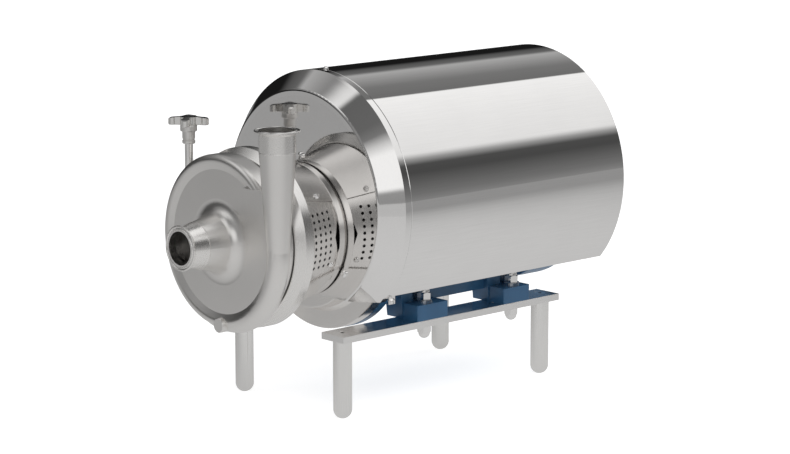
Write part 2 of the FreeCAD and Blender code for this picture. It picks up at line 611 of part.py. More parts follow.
plate = disc(PLATE_S, PLATE_S + PLATE_T, PLATE_R, 0, SHROUD_UP)
plate = plate.common(above(BEVEL_CUT, PLATE_S, PLATE_S + PLATE_T))
plate = plate.cut(disc(PLATE_S - 1, FLANGE_S + 1, THROAT_R + 0.5))
for screw in plate_screws:
    plate = plate.cut(screw)
save("shroud_plate", plate)
JOIN_S = 276.0
BAND_IN = SHROUD_R - SHROUD_T
front = turned([
    (PLATE_S, PLATE_R), (PLATE_S, FLAT_R), (PLATE_S + 0.44, FLAT_R + 2.05, "m"), (PLATE_S + 1.68, FLAT_R + 3.75),
    (BEVEL_S, BEVEL_R), (BAND_S + 0.6, SHROUD_R),
    (SEAM_S - 0.5, SHROUD_R), (SEAM_S, SHROUD_R - 0.5), (SEAM_S, BAND_IN - 0.1),
    (JOIN_S, BAND_IN - 0.1), (JOIN_S, BAND_IN - 1.6), (BAND_S + 3, BAND_IN - 1.6),
    (BAND_S + 3, BAND_IN), (BAND_S, BAND_IN), (BEVEL_S - 0.6, BEVEL_R - 2.8),
    (PLATE_S + PLATE_T, FLAT_R + 0.9), (PLATE_S + PLATE_T, PLATE_R)], SHROUD_UP)
front = front.common(above(BEVEL_CUT, PLATE_S - 3, SEAM_S).fuse(above(SHROUD_CUT, SEAM_S, 280)))
EDGE_X = math.sqrt(SHROUD_R ** 2 - (SHROUD_CUT - SHROUD_UP) ** 2)
TAB_X = EDGE_X - 1.8
tabs = []
for side in (-1, 1):
    tab = block(TAB_X - 1.5, TAB_X, SEAM_S + 0.5, JOIN_S - 1.0, SHROUD_CUT - 12, SHROUD_CUT + 5)
    if side < 0:
        tab = mirrored(tab)
    tabs.append(tab)
front = front.fuse(tabs).removeSplitter()

# Shroud: polished half-open cylinder with a rolled rear rim and turned-in lower edges

shroud = turned([
    (SEAM_S + 0.3, SHROUD_R - SHROUD_T), (SEAM_S + 0.3, SHROUD_R - 0.6), (SEAM_S + 0.9, SHROUD_R),
    (LENGTH - 1.5, SHROUD_R), (LENGTH, SHROUD_R - 1.5), (LENGTH, SHROUD_R - 9),
    (LENGTH - 1.5, SHROUD_R - 9), (LENGTH - 1.5, SHROUD_R - SHROUD_T)], SHROUD_UP)
shroud = shroud.common(above(SHROUD_CUT, SEAM_S, LENGTH))
hem = block(EDGE_X - 14, EDGE_X - 1.0, 277, LENGTH, SHROUD_CUT, SHROUD_CUT + 1.5)
shroud = shroud.fuse([hem, mirrored(hem)]).removeSplitter()
TOP_SCREW_S = 269.5
heads = [pan_screw(90, TOP_SCREW_S, SHROUD_R, 4.2, 3.2, 6.0, SHROUD_UP)]
side_head = pan_screw(0, 269.0, TAB_X, 4.2, 3.2, 6.0)
side_head.translate(vec(0, 0, SHROUD_CUT - 7))
heads = heads + [side_head, mirrored(side_head)]
for head in heads:
    front = front.cut(head)
    shroud = shroud.cut(head)
save("shroud_screws", Part.makeCompound(heads))
save("shroud_front", front.cut(shroud))
save("shroud", shroud)

# Motor: flange shield, ribbed frame, feet, rear shield, cowl, terminal box

shield = turned([
    (MOTOR_S - SPIGOT_T, 60), (MOTOR_S - SPIGOT_T, SPIGOT_R - 0.6), (MOTOR_S - SPIGOT_T + 0.6, SPIGOT_R),
    (MOTOR_S, SPIGOT_R), (MOTOR_S, MOTOR_FLANGE_R - 1), (MOTOR_S + 1, MOTOR_FLANGE_R),
    (MOTOR_S + MOTOR_FLANGE_T - 1, MOTOR_FLANGE_R), (MOTOR_S + MOTOR_FLANGE_T, MOTOR_FLANGE_R - 1),
    (MOTOR_S + MOTOR_FLANGE_T, FRAME_R), (FRAME_S0, FRAME_R), (FRAME_S0, FRAME_R - 9),
    (MOTOR_S + 8, FRAME_R - 17), (MOTOR_S + 8, 60), (MOTOR_S + 26, 56), (MOTOR_S + 43, 56), (MOTOR_S + 43, 45.05),
    (MOTOR_S + 20, 45.05), (MOTOR_S + 20, 22), (MOTOR_S - SPIGOT_T, 22)])
shield = shield.cut(stud_holes[0].fuse(stud_holes[1:]))
save("motor_shield", shield)
studs = []
for angle in STUD_ANGLES:
    a = math.radians(angle)
    x = STUD_PCR * math.cos(a)
    z = STUD_PCR * math.sin(a)
    pin = disc(FLANGE_S + 4, MOTOR_S + MOTOR_FLANGE_T + 15, M12_R, x, z)
    hexa = prism(NUT_AF, 10.8, 0, 0, 0)
    hexa.rotate(vec(0, 0, 0), vec(1, 0, 0), -90)
    hexa.translate(vec(x, MOTOR_S + MOTOR_FLANGE_T, z))
    studs.append(pin.fuse(hexa).removeSplitter())
save("flange_studs", Part.makeCompound(studs))

frame = tube(FRAME_S0, FRAME_S1, FRAME_R, FRAME_R - 6.5)
fins = []
for k in range(36):
    angle = 10.0 * k
    if 60 <= angle <= 120:
        continue
    fin = block(FRAME_R - 3, FIN_R, FRAME_S0 + 8, FRAME_S1 - 6, -1.4, 1.4)
    fin.rotate(vec(0, 0, 0), vec(0, 1, 0), -angle)
    fins.append(fin)
BOX_Z = FRAME_R + 13.0
pad = block(-58, 58, 330, 452, FRAME_R - 25, BOX_Z).cut(disc(300, 480, FRAME_R - 4))
foot_pads = []
for side in (-1, 1):
    for s0, s1 in ((FOOT_S[0] - 34, FOOT_S[0] + 26), (FOOT_S[1] - 38, FOOT_S[1] + 16)):
        pad_low = block(66, 88, s0 + 4, s1 - 4, -112, 37 - FRAME_R).cut(disc(300, 640, FRAME_R - 2))
        foot_pads.append(pad_low if side > 0 else mirrored(pad_low))
frame = frame.fuse(fins + [pad] + foot_pads).removeSplitter()


def foot(s0, s1, hole_s):
    base = block(66, FOOT_OUT, s0, s1, FOOT_Z, FOOT_Z + FOOT_H)
    corner = [e for e in base.Edges if e.BoundBox.ZLength > 20 and e.BoundBox.XMin > 100]
    base = base.makeFillet(2.0, corner)
    toe = Part.Face(Part.makePolygon([
        vec(66, s0 - 6, -84), vec(66, s0, FOOT_Z + 1), vec(66, s0 + 20, FOOT_Z + 1),
        vec(66, s0 + 20, -84), vec(66, s0 - 6, -84)])).extrude(vec(34, 0, 0))
    well = post(FOOT_Z + FOOT_H, FOOT_Z + 60, 17.5, FOOT_X, hole_s)
    upper = block(66, 100, s0, s1, FOOT_Z, -84)
    body = base.fuse([upper, toe]).cut(well)
    return body.cut(post(FOOT_Z - 1, FOOT_Z + 60, HOLE12_R, FOOT_X, hole_s))


rail = block(70, 92, FOOT_S[0] + 20, FOOT_S[1] - 30, -113, -88)
foot_front = foot(FOOT_S[0] - 34, FOOT_S[0] + 26, FOOT_S[0])
foot_rear = foot(FOOT_S[1] - 38, FOOT_S[1] + 16, FOOT_S[1])
feet_r = foot_front.fuse([foot_rear, rail])
feet_r = feet_r.cut(disc(300, 640, FIN_R + 0.2))
feet_r = feet_r.removeSplitter()
frame = frame.cut(feet_r.fuse(mirrored(feet_r)))
save("foot_rail_r", feet_r)
save("foot_rail_l", mirrored(feet_r))
save("motor_frame", frame)

rear_shield = turned([
    (FRAME_S1, FRAME_R - 1), (REAR_S - 4, FRAME_R - 1), (REAR_S, FRAME_R - 9), (REAR_S, 24), (REAR_S - 3, 24),
    (REAR_S - 3, 45.05), (REAR_S - 26, 45.05), (REAR_S - 26, 56), (REAR_S - 8, 56), (FRAME_S1, FRAME_R - 15)])
save("rear_shield", rear_shield)
cowl = turned([
    (REAR_S - 14, FRAME_R - 0.9), (REAR_S - 14, COWL_R - 1.0), (REAR_S - 13, COWL_R), (COWL_S - 16, COWL_R),
    (COWL_S - 4.5, COWL_R - 5.5, "m"), (COWL_S, COWL_R - 17), (COWL_S, 0), (COWL_S - 2, 0),
    (COWL_S - 2, COWL_R - 17), (COWL_S - 6, COWL_R - 7, "m"), (COWL_S - 16, COWL_R - 2),
    (REAR_S - 4, COWL_R - 2), (REAR_S - 4, FRAME_R - 0.9)])
slots = []
for k in range(5):
    band = tube(COWL_S - 3, COWL_S + 1, 32 + 16.5 * k, 24 + 16.5 * k)
    slots.append(band)
spokes = []
for k in range(4):
    spoke = block(-110, 110, COWL_S - 4, COWL_S + 2, -3, 3)
    spoke.rotate(vec(0, 0, 0), vec(0, 1, 0), 45 * k + 22.5)
    spokes.append(spoke)
slots = slots[0].fuse(slots[1:]).cut(spokes[0].fuse(spokes[1:]))
save("fan_cowl", cowl.cut(slots))

box_body = block(-55, 55, 334, 448, BOX_Z, BOX_Z + 42)
box_body = box_body.makeFillet(8, [e for e in box_body.Edges if e.BoundBox.ZLength > 30])
box_body = box_body.cut(block(-49, 49, 340, 442, BOX_Z + 6, BOX_Z + 46))
box_body = box_body.cut(Part.makeCylinder(12.6, 20, vec(45, 391, BOX_Z + 24), vec(1, 0, 0)))
save("terminal_box", box_body)
lid = block(-57, 57, 332, 450, BOX_Z + 42, BOX_Z + 49)
lid = lid.makeFillet(8, [e for e in lid.Edges if e.BoundBox.ZLength > 6])
lid = lid.makeChamfer(1.5, [e for e in lid.Edges if abs(e.BoundBox.ZMin - BOX_Z - 49) < 1e-6])
save("terminal_lid", lid)
gland = Part.makeCylinder(12.5, 10, vec(46, 391, BOX_Z + 24), vec(1, 0, 0))
gland = gland.fuse([Part.makeCylinder(16, 6, vec(55, 391, BOX_Z + 24), vec(1, 0, 0)),
                    Part.makeCone(14.5, 12.0, 14, vec(61, 391, BOX_Z + 24), vec(1, 0, 0))])
gland = gland.cut(Part.makeCylinder(6.5, 40, vec(40, 391, BOX_Z + 24), vec(1, 0, 0))).removeSplitter()
save("cable_gland", gland)

# Motor works: shaft, rotor, stator, bearings, fan

shaft_nose = MOTOR_S - MOTOR_SHAFT_L
motor_shaft = turned([
    (shaft_nose, 0), (shaft_nose, MOTOR_SHAFT_R - 1), (shaft_nose + 1, MOTOR_SHAFT_R),
    (MOTOR_S + 16, MOTOR_SHAFT_R), (MOTOR_S + 16, 19.95), (MOTOR_S + 43, 19.95), (MOTOR_S + 43, 26),
    (REAR_S - 26, 26), (REAR_S - 26, 19.95), (REAR_S - 2, 19.95), (REAR_S - 2, 14), (672, 14), (673, 13),
    (673, 0)])
motor_shaft = motor_shaft.cut(block(-5.05, 5.05, 215.9, 262.1, 14, 22))
save("motor_shaft", motor_shaft)
save("rotor_core", turned([(380, 26.05), (380, 40), (368, 44), (368, 70), (380, 74), (380, 77.4), (556, 77.4),
                           (556, 74), (568, 70), (568, 44), (556, 40), (556, 26.05)]))
save("stator_core", tube(382, 554, FRAME_R - 6.6, 78.2))
coil_front = turned([(356, 86), (352, 90), (352, 104), (356, 108), (382, 108), (382, 84), (360, 84)])
coil_rear = turned([(554, 84), (554, 108), (580, 108), (584, 104), (584, 90), (580, 84)])
save("windings", Part.makeCompound([coil_front, coil_rear]))


def bearing(s0, s1):
    outer = tube(s0, s1, 45, 38)
    inner = tube(s0, s1, 27, 20.0)
    balls = []
    for k in range(8):
        a = math.radians(45 * k)
        balls.append(Part.makeSphere(5.45, vec(32.5 * math.cos(a), (s0 + s1) / 2, 32.5 * math.sin(a))))
    return outer, inner, Part.makeCompound(balls)


front_b = bearing(MOTOR_S + 20, MOTOR_S + 43)
rear_b = bearing(REAR_S - 26, REAR_S - 3)
save("bearing_outer_rings", Part.makeCompound([front_b[0], rear_b[0]]))
save("bearing_inner_rings", Part.makeCompound([front_b[1], rear_b[1]]))
save("bearing_balls", Part.makeCompound([front_b[2], rear_b[2]]))
fan_hub = turned([(REAR_S + 9, 14.05), (REAR_S + 9, 24), (REAR_S + 12, 30), (REAR_S + 13, 92), (REAR_S + 16, 92),
                  (REAR_S + 17, 30), (REAR_S + 36, 22), (REAR_S + 36, 14.05)])
fan_blades = []
for k in range(9):
    blade = block(28, 104, REAR_S + 11, REAR_S + 42, -1.4, 1.4)
    blade = blade.cut(block(80, 110, REAR_S + 34, REAR_S + 60, -5, 5))
    blade.rotate(vec(0, 0, 0), vec(0, 1, 0), 40 * k)
    fan_blades.append(blade)
save("motor_fan", fan_hub.fuse(fan_blades).removeSplitter())

# Base: two bars, four legs, screws, studs with cap nuts and washers

BAR_TOP = FOOT_Z
BAR_LOW = FOOT_Z - BAR_T
bar = block(FOOT_X - BAR_W / 2, FOOT_X + BAR_W / 2, BAR_S0, BAR_S1, BAR_LOW, BAR_TOP)
bar = bar.makeChamfer(0.6, bar.Edges)
for s in FOOT_S:
    bar = bar.cut(post(BAR_LOW - 1, BAR_TOP + 1, HOLE12_R, FOOT_X, s))
SPARE_S = 502.5
bar = bar.cut(post(BAR_LOW - 1, BAR_TOP + 1, 3.4, FOOT_X, SPARE_S))
csk = []
for s in LEG_S:
    sink = Part.makeCone(4.2, 8.4, 4.2, vec(FOOT_X, s, BAR_TOP - 4.2))
    bar = bar.cut(sink.fuse(post(BAR_LOW - 1, BAR_TOP, 4.3, FOOT_X, s)))
    head = Part.makeCone(4.0, 8.2, 4.2, vec(FOOT_X, s, BAR_TOP - 4.3))
    head = head.fuse(post(BAR_LOW - 16, BAR_TOP - 4.2, 4.0, FOOT_X, s))
    head = head.cut(prism(5.0, 3.0, BAR_TOP - 2.8, FOOT_X, s))
    csk.append(head.removeSplitter())
save("base_bar_r", bar)
save("base_bar_l", mirrored(bar))
save("leg_screws", Part.makeCompound(csk + [mirrored(p) for p in csk]))
FLOOR_Z = -SHAFT_H
names = ("front", "rear")
for k in range(2):
    leg = turned([(BAR_LOW, 4.1), (BAR_LOW, LEG_R - 0.6), (BAR_LOW - 0.6, LEG_R), (FLOOR_Z + LEG_R, LEG_R),
                  (FLOOR_Z + LEG_R * (1 - math.sqrt(0.5)), LEG_R * math.sqrt(0.5), "m"), (FLOOR_Z, 0),
                  (BAR_LOW - 18, 0), (BAR_LOW - 18, 4.1)])
    leg.rotate(vec(0, 0, 0), vec(1, 0, 0), 90)
    leg.translate(vec(FOOT_X, LEG_S[k], 0))
    save("leg_" + names[k] + "_r", leg)
    save("leg_" + names[k] + "_l", mirrored(leg))
FOOT_TOP = FOOT_Z + FOOT_H
WASH_T = 2.5
nuts = []
washers = []
rods = []
for s in FOOT_S:
    rods.append(post(BAR_LOW - WASH_T - 8.5, FOOT_TOP + WASH_T + 8.5, M12_R, FOOT_X, s))
    nuts.append(dome_nut(FOOT_X, s, FOOT_TOP + WASH_T, True))
    nuts.append(dome_nut(FOOT_X, s, BAR_LOW - WASH_T, False))
    for z in (FOOT_TOP, BAR_LOW - WASH_T):
        washers.append(post(z, z + WASH_T, 12.0, FOOT_X, s).cut(post(z - 1, z + 9, HOLE12_R, FOOT_X, s)))
save("foot_studs", Part.makeCompound(rods + [mirrored(p) for p in rods]))
save("cap_nuts", Part.makeCompound(nuts + [mirrored(p) for p in nuts]))
save("foot_washers", Part.makeCompound(washers + [mirrored(p) for p in washers]))
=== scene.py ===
import bpy
import bmesh
import math
import random
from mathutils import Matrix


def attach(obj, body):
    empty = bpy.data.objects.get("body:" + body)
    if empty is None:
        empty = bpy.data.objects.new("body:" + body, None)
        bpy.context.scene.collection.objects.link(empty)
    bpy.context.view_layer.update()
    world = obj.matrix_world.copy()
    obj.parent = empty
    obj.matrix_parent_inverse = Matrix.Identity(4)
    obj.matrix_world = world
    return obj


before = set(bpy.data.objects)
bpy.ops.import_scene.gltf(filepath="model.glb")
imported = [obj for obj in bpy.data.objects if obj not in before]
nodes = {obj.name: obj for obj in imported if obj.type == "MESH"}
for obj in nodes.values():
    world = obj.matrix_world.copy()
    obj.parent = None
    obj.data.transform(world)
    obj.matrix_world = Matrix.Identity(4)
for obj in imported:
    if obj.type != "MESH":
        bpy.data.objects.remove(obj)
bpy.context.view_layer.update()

random.seed(11)
scene = bpy.context.scene

# Places in the row frame, in metres: the shaft's height, and the suction face's distance from the middle
SHAFT_Z = 0.256
MID_Y = 0.3495


# Camera at the photograph's angle, found by fitting edges and circles in the photograph

CAMERA_PLACE = (2.91117, -2.64846, 0.98022)
CAMERA_TILT = 79.37
CAMERA_YAW = 47.12
CAMERA_LENS = 124.79
SENSOR_WIDTH = 36.0

cam_data = bpy.data.cameras.new("camera")
cam_data.sensor_fit = "HORIZONTAL"
cam_data.sensor_width = SENSOR_WIDTH
cam_data.lens = CAMERA_LENS
cam_data.clip_start = 0.05
cam_data.clip_end = 60.0
cam = bpy.data.objects.new("camera", cam_data)
scene.collection.objects.link(cam)
cam.location = CAMERA_PLACE
cam.rotation_euler = (math.radians(CAMERA_TILT), 0.0, math.radians(CAMERA_YAW))
scene.camera = cam
scene.view_settings.view_transform = "Standard"


# Helpers for node trees

class Tree:
    """A material's or world's node tree, with short forms for the nodes used here."""

    def __init__(self, owner):
        owner.use_nodes = True
        self.nt = owner.node_tree
        self.nt.nodes.clear()

    def add(self, kind, **sets):
        node = self.nt.nodes.new(kind)
        for key, value in sets.items():
            setattr(node, key, value)
        return node

    def link(self, start, end):
        self.nt.links.new(start, end)

    def coords(self, output):
        return self.add("ShaderNodeTexCoord").outputs[output]

    def split(self, vector):
        node = self.add("ShaderNodeSeparateXYZ")
        self.link(vector, node.inputs[0])
        return node.outputs

    def math(self, op, *values):
        node = self.add("ShaderNodeMath", operation=op)
        for socket, value in zip(node.inputs, values):
            if isinstance(value, (int, float)):
                socket.default_value = value
            else:
                self.link(value, socket)
        return node.outputs[0]

    def ramp(self, factor, stops):
        """A straight-line ramp; each stop is a position and either a grey level or a colour."""
        node = self.add("ShaderNodeValToRGB")
        elements = node.color_ramp.elements
        while len(elements) < len(stops):
            elements.new(0.5)
        for element, (position, value) in zip(elements, stops):
            colour = (value,) * 3 if isinstance(value, (int, float)) else value
            element.position = position
            element.color = (*colour, 1.0)
        self.link(factor, node.inputs[0])
        return node.outputs[0]

    def span(self, value, from_low, from_high, to_low, to_high):
        """A smooth step from one level to another over a stretch of the value."""
        node = self.add("ShaderNodeMapRange", interpolation_type="SMOOTHSTEP")
        for i, edge in enumerate((from_low, from_high, to_low, to_high)):
            node.inputs[i + 1].default_value = edge
        self.link(value, node.inputs[0])
        return node.outputs[0]

    def noise(self, vector, scale, detail):
        node = self.add("ShaderNodeTexNoise")
        node.inputs["Scale"].default_value = scale
        node.inputs["Detail"].default_value = detail
        node.inputs["Roughness"].default_value = 0.55
        self.link(vector, node.inputs["Vector"])
        return node.outputs["Fac"]

    def for_camera(self, others, camera):
        """One shader for camera rays and another for all the others."""
        path = self.add("ShaderNodeLightPath")
        mix = self.add("ShaderNodeMixShader")
        self.link(path.outputs["Is Camera Ray"], mix.inputs[0])
        self.link(others, mix.inputs[1])
        self.link(camera, mix.inputs[2])
        return mix.outputs[0]


# Materials: steels with a fine grain along the tool's path, and coated or moulded surfaces

TURNED_STRETCH = 0.004
LONG_STRETCH = 0.03
CLOUD_SHARE = 0.4
STEEL_CLOUDS = 14.0
STEEL_SHADES = (0.94, 1.05)
STEEL_DEPTH = 0.0002
THREAD_DEPTH = 0.0006
THREAD_HEIGHT = 5.0
THREAD_GRAIN = 0.05
COATED_CLOUDS = 22.0
COATED_DEPTH = 0.0003
COATED_VARY = 0.06
COATED_EDGES = (0.3, 0.7)
COAT_ROUGHNESS = 0.18


def surface(name):
    mat = bpy.data.materials.new(name)
    t = Tree(mat)
    out = t.add("ShaderNodeOutputMaterial")
    bsdf = t.add("ShaderNodeBsdfPrincipled")
    t.link(bsdf.outputs[0], out.inputs[0])
    return mat, t, bsdf


def bumped(t, bsdf, height, strength, distance):
    bump = t.add("ShaderNodeBump")
    bump.inputs["Strength"].default_value = strength
    bump.inputs["Distance"].default_value = distance
    t.link(height, bump.inputs["Height"])
    t.link(bump.outputs[0], bsdf.inputs["Normal"])


def scaled(colour, factor):
    return tuple(min(1.0, channel * factor) for channel in colour)


def grain_vector(t, mode):
    # Object coordinates are the row frame in metres. Even grain uses them as they are; the other modes
    # stretch it around the shaft, along Y or along Z.
    co = t.coords("Object")
    if mode == "even":
        return co
    x, y, z = t.split(co)
    out = t.add("ShaderNodeCombineXYZ")
    if mode == "turned":
        up = t.math("SUBTRACT", z, SHAFT_Z)
        square = t.math("ADD", t.math("MULTIPLY", x, x), t.math("MULTIPLY", up, up))
        around = t.math("MULTIPLY", t.math("ARCTAN2", up, x), TURNED_STRETCH)
        parts = (t.math("SQRT", square), y, around)
    elif mode == "along_y":
        parts = (x, t.math("MULTIPLY", y, LONG_STRETCH), z)
    else:
        parts = (x, y, t.math("MULTIPLY", z, LONG_STRETCH))
    for part, socket in zip(parts, out.inputs):
        t.link(part, socket)
    return out.outputs[0]


def thread_height(t, thread, fine):
    # An upright screw thread between two heights: sloping ridges of one pitch around the rod's middle.
    middle_x, middle_y, low, high, pitch = thread
    x, y, z = t.split(t.coords("Object"))
    angle = t.math("ARCTAN2", t.math("SUBTRACT", y, middle_y), t.math("SUBTRACT", x, middle_x))
    turn = t.math("DIVIDE", angle, 2.0 * math.pi)
    wave = t.math("PINGPONG", t.math("ADD", t.math("DIVIDE", z, pitch), turn), 0.5)
    gate = t.math("MULTIPLY", t.math("GREATER_THAN", z, low), t.math("LESS_THAN", z, high))
    ridges = t.math("MULTIPLY", t.math("MULTIPLY", wave, gate), THREAD_HEIGHT)
    return t.math("ADD", ridges, t.math("MULTIPLY", fine, THREAD_GRAIN))


def steel(name, base, rough, mode="even", grain=900.0, bump=0.05, vary=0.04, spread=(0.25, 0.75),
          thread=None):
    mat, t, bsdf = surface(name)
    bsdf.inputs["Metallic"].default_value = 1.0
    fine = t.noise(grain_vector(t, mode), grain, 2.0)
    cloud = t.noise(t.coords("Object"), STEEL_CLOUDS, 3.0)
    both = t.math("ADD", t.math("MULTIPLY", fine, 1.0 - CLOUD_SHARE), t.math("MULTIPLY", cloud, CLOUD_SHARE))
    shades = [scaled(base, factor) for factor in STEEL_SHADES]
    t.link(t.ramp(both, list(zip(spread, shades))), bsdf.inputs["Base Color"])
    t.link(t.span(both, *spread, max(0.01, rough - vary), rough + vary), bsdf.inputs["Roughness"])
    if thread is None:
        bumped(t, bsdf, fine, bump, STEEL_DEPTH)
    else:
        bumped(t, bsdf, thread_height(t, thread, fine), 1.0, THREAD_DEPTH)
    return mat


def coated(name, base, rough, grain, bump, coat=0.0, sheen=0.0, spec=0.5, wear=0.12):
    mat, t, bsdf = surface(name)
    bsdf.inputs["Specular IOR Level"].default_value = spec
    bsdf.inputs["Coat Weight"].default_value = coat
    bsdf.inputs["Coat Roughness"].default_value = COAT_ROUGHNESS
    bsdf.inputs["Sheen Weight"].default_value = sheen
    co = t.coords("Object")
    fine = t.noise(co, grain, 3.0)
    cloud = t.noise(co, COATED_CLOUDS, 4.0)
    shades = (scaled(base, 1.0 - wear), scaled(base, 1.0 + wear))
    t.link(t.ramp(cloud, list(zip(COATED_EDGES, shades))), bsdf.inputs["Base Color"])
    smooth, rougher = max(0.02, rough - COATED_VARY), rough + COATED_VARY
    t.link(t.span(fine, *COATED_EDGES, smooth, rougher), bsdf.inputs["Roughness"])
    bumped(t, bsdf, fine, bump, COATED_DEPTH)
    return mat


SATIN = (0.84, 0.825, 0.805)
BRIGHT = (0.86, 0.85, 0.84)

# The clamp screw's thread: the rod's middle, the heights where it starts and ends, and its pitch
SCREW_THREAD = (-0.136, 0.127 - MID_Y, 0.0, SHAFT_Z + 0.022, 0.003)

mats = {
    "cast_satin": steel("cast_satin", SATIN, 0.34, grain=1400.0, bump=0.10),
    "turned_satin": steel("turned_satin", (0.88, 0.865, 0.845), 0.27, "turned", grain=1600.0,
                          bump=0.03, vary=0.03, spread=(0.1, 0.9)),
    "drum": steel("drum", (0.84, 0.82, 0.80), 0.24, "turned", grain=1300.0, spread=(0.15, 0.85)),
    "mirror": steel("mirror", BRIGHT, 0.030, "along_y", grain=500.0,
                    bump=0.002, vary=0.010, spread=(0.05, 0.95)),
    "plate_mirror": steel("plate_mirror", (0.84, 0.83, 0.82), 0.045, grain=500.0,
                          bump=0.002, vary=0.010, spread=(0.1, 0.9)),
    "front_ring": steel("front_ring", BRIGHT, 0.05, grain=600.0, bump=0.003, vary=0.015, spread=(0.1, 0.9)),
    "guard": steel("guard", (0.88, 0.86, 0.84), 0.26, "turned", grain=1300.0, spread=(0.15, 0.85)),
    "bar": steel("bar", (0.84, 0.83, 0.82), 0.22, "along_y", grain=1500.0, bump=0.12, vary=0.06),
    "leg": steel("leg", (0.86, 0.85, 0.835), 0.16, "along_z", grain=1300.0),
    "bolt": steel("bolt", (0.88, 0.87, 0.86), 0.14, bump=0.03),
    "knob": steel("knob", (0.84, 0.83, 0.81), 0.07, grain=700.0, bump=0.02, vary=0.03),
    "rod": steel("rod", (0.88, 0.87, 0.86), 0.15, "along_z", grain=1200.0, thread=SCREW_THREAD),
    "ground": steel("ground", (0.60, 0.60, 0.61), 0.18, "turned", grain=1800.0, bump=0.06, vary=0.05),
    "cut": steel("cut", (0.45, 0.45, 0.46), 0.30, "turned", bump=0.10, vary=0.06),
    "core": steel("core", (0.30, 0.30, 0.31), 0.45, "turned", grain=700.0, bump=0.30, vary=0.08),
    "blue": coated("blue", (0.036, 0.140, 0.290), 0.38, 500.0, 0.12, coat=0.25, wear=0.10),
    "copper": coated("copper", (0.46, 0.16, 0.05), 0.35, 900.0, 0.5, coat=0.3, wear=0.2),
    "black": coated("black", (0.018, 0.018, 0.019), 0.34, 900.0, 0.12),
    "rubber": coated("rubber", (0.022, 0.022, 0.023), 0.62, 1200.0, 0.2, sheen=0.15, spec=0.35),
    "carbon": coated("carbon", (0.035, 0.035, 0.038), 0.28, 1500.0, 0.05),
    "ceramic": coated("ceramic", (0.72, 0.69, 0.62), 0.16, 1500.0, 0.02, coat=0.2, wear=0.03),
}

dress = {
    "cast_satin": "casing knob_hub",
    "turned_satin": "suction_ferrule discharge_ferrule clamp_ring back_plate impeller",
    "drum": "front_drum rear_drum",
    "mirror": "shroud",
    "plate_mirror": "shroud_plate",
    "front_ring": "shroud_front",
    "guard": "guard_front_l guard_front_r",
    "bar": "base_bar_l base_bar_r",
    "leg": "leg_front_l leg_front_r leg_rear_l leg_rear_r",
    "bolt": "clamp_nut clamp_washer impeller_nut collar_screws guard_screws shroud_screws flange_studs "
            "leg_screws foot_studs cap_nuts foot_washers",
    "knob": "knob",
    "rod": "clamp_screw",
    "ground": "pump_shaft grip_ring shaft_key motor_shaft",
    "cut": "bearing_inner_rings bearing_outer_rings bearing_balls",
    "core": "rotor_core stator_core",
    "blue": "motor_shield motor_frame foot_rail_l foot_rail_r rear_shield fan_cowl terminal_box terminal_lid",
    "copper": "windings",
    "black": "motor_fan cable_gland knob_cap",
    "rubber": "casing_seal seal_bellows",
    "carbon": "seal_face",
    "ceramic": "seal_seat",
}
for mat_name, names in dress.items():
    for node_name in names.split():
        slots = nodes[node_name].data.materials
        slots.clear()
        slots.append(mats[mat_name])


# Weld beads where the two ferrules meet the casing, built as rippled rings

WELD_WIDTH = 0.0016
WELD_HEIGHT = 0.0004
WELD_SUNK = 0.0002
STEPS_PER_RIPPLE = 4
PROFILE_POINTS = 7
RIPPLE_SHARE = 0.22
RIPPLE_JITTER = 0.06


def weld_ring(bm, centre, axis, radius, i, steps):
    """The points of one cross-section of the bead."""
    a = 2.0 * math.pi * i / steps
    wave = RIPPLE_SHARE * math.cos(2.0 * math.pi * i / STEPS_PER_RIPPLE)
    ripple = 1.0 + wave + random.uniform(-RIPPLE_JITTER, RIPPLE_JITTER)
    ring = []
    for k in range(PROFILE_POINTS):
        b = math.pi * k / (PROFILE_POINTS - 1)
        along = -0.5 * WELD_WIDTH * math.cos(b)
        out = radius - WELD_SUNK + WELD_HEIGHT * ripple * math.sin(b)
        side = out * math.cos(a)
        turned = out * math.sin(a)
        offset = (side, along, turned) if axis == "y" else (side, turned, along)
        ring.append(bm.verts.new([c + o for c, o in zip(centre, offset)]))
    return ring


def weld(name, centre, axis, radius, ripples, mat):
    bm = bmesh.new()
    steps = ripples * STEPS_PER_RIPPLE
    rings = [weld_ring(bm, centre, axis, radius, i, steps) for i in range(steps)]
    for i, here in enumerate(rings):
        after = rings[(i + 1) % steps]
        for k in range(PROFILE_POINTS):
            j = (k + 1) % PROFILE_POINTS
            bm.faces.new((here[k], here[j], after[j], after[k]))
    bmesh.ops.recalc_face_normals(bm, faces=bm.faces)
    mesh = bpy.data.meshes.new(name)
    bm.to_mesh(mesh)
    bm.free()
    for poly in mesh.polygons:
        poly.use_smooth = True
    piece = bpy.data.objects.new(name, mesh)
    scene.collection.objects.link(piece)
    mesh.materials.append(mats[mat])
    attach(piece, "pump_body")


SUCTION_WELD = (0.0, 0.0276 - MID_Y, SHAFT_Z)
DISCHARGE_WELD = (0.112, 0.0825 - MID_Y, SHAFT_Z + 0.138)
weld("weld_suction", SUCTION_WELD, "y", 0.0332, 60, "turned_satin")
weld("weld_discharge", DISCHARGE_WELD, "z", 0.0254, 50, "turned_satin")


# Floor: white to the camera with the object's shadow. In reflections and in the light it gives, it is a
# painted pool of light instead:
# a grey glow that fades with the distance from the middle, more so behind the object, and from right to left.

FLOOR_SIZE = 9.0
# Painted pool of light on the floor: its fade with distance in front and behind, where behind starts, and its
# rise towards +X
PAINTED_FALLOFF_FRONT = (0.5, 3.0, 1.0, 0.85)
PAINTED_FALLOFF_REAR = (0.30, 2.6, 1.0, 0.51)
REAR_START = (-0.3, 0.3, 0.0, 1.0)
PAINTED_LIGHT_ACROSS = (-0.6, 0.3, 0.42, 0.62)
FLOOR_COLOUR = (0.9, 0.9, 0.9, 1.0)
FLOOR_GLOW = 0.75


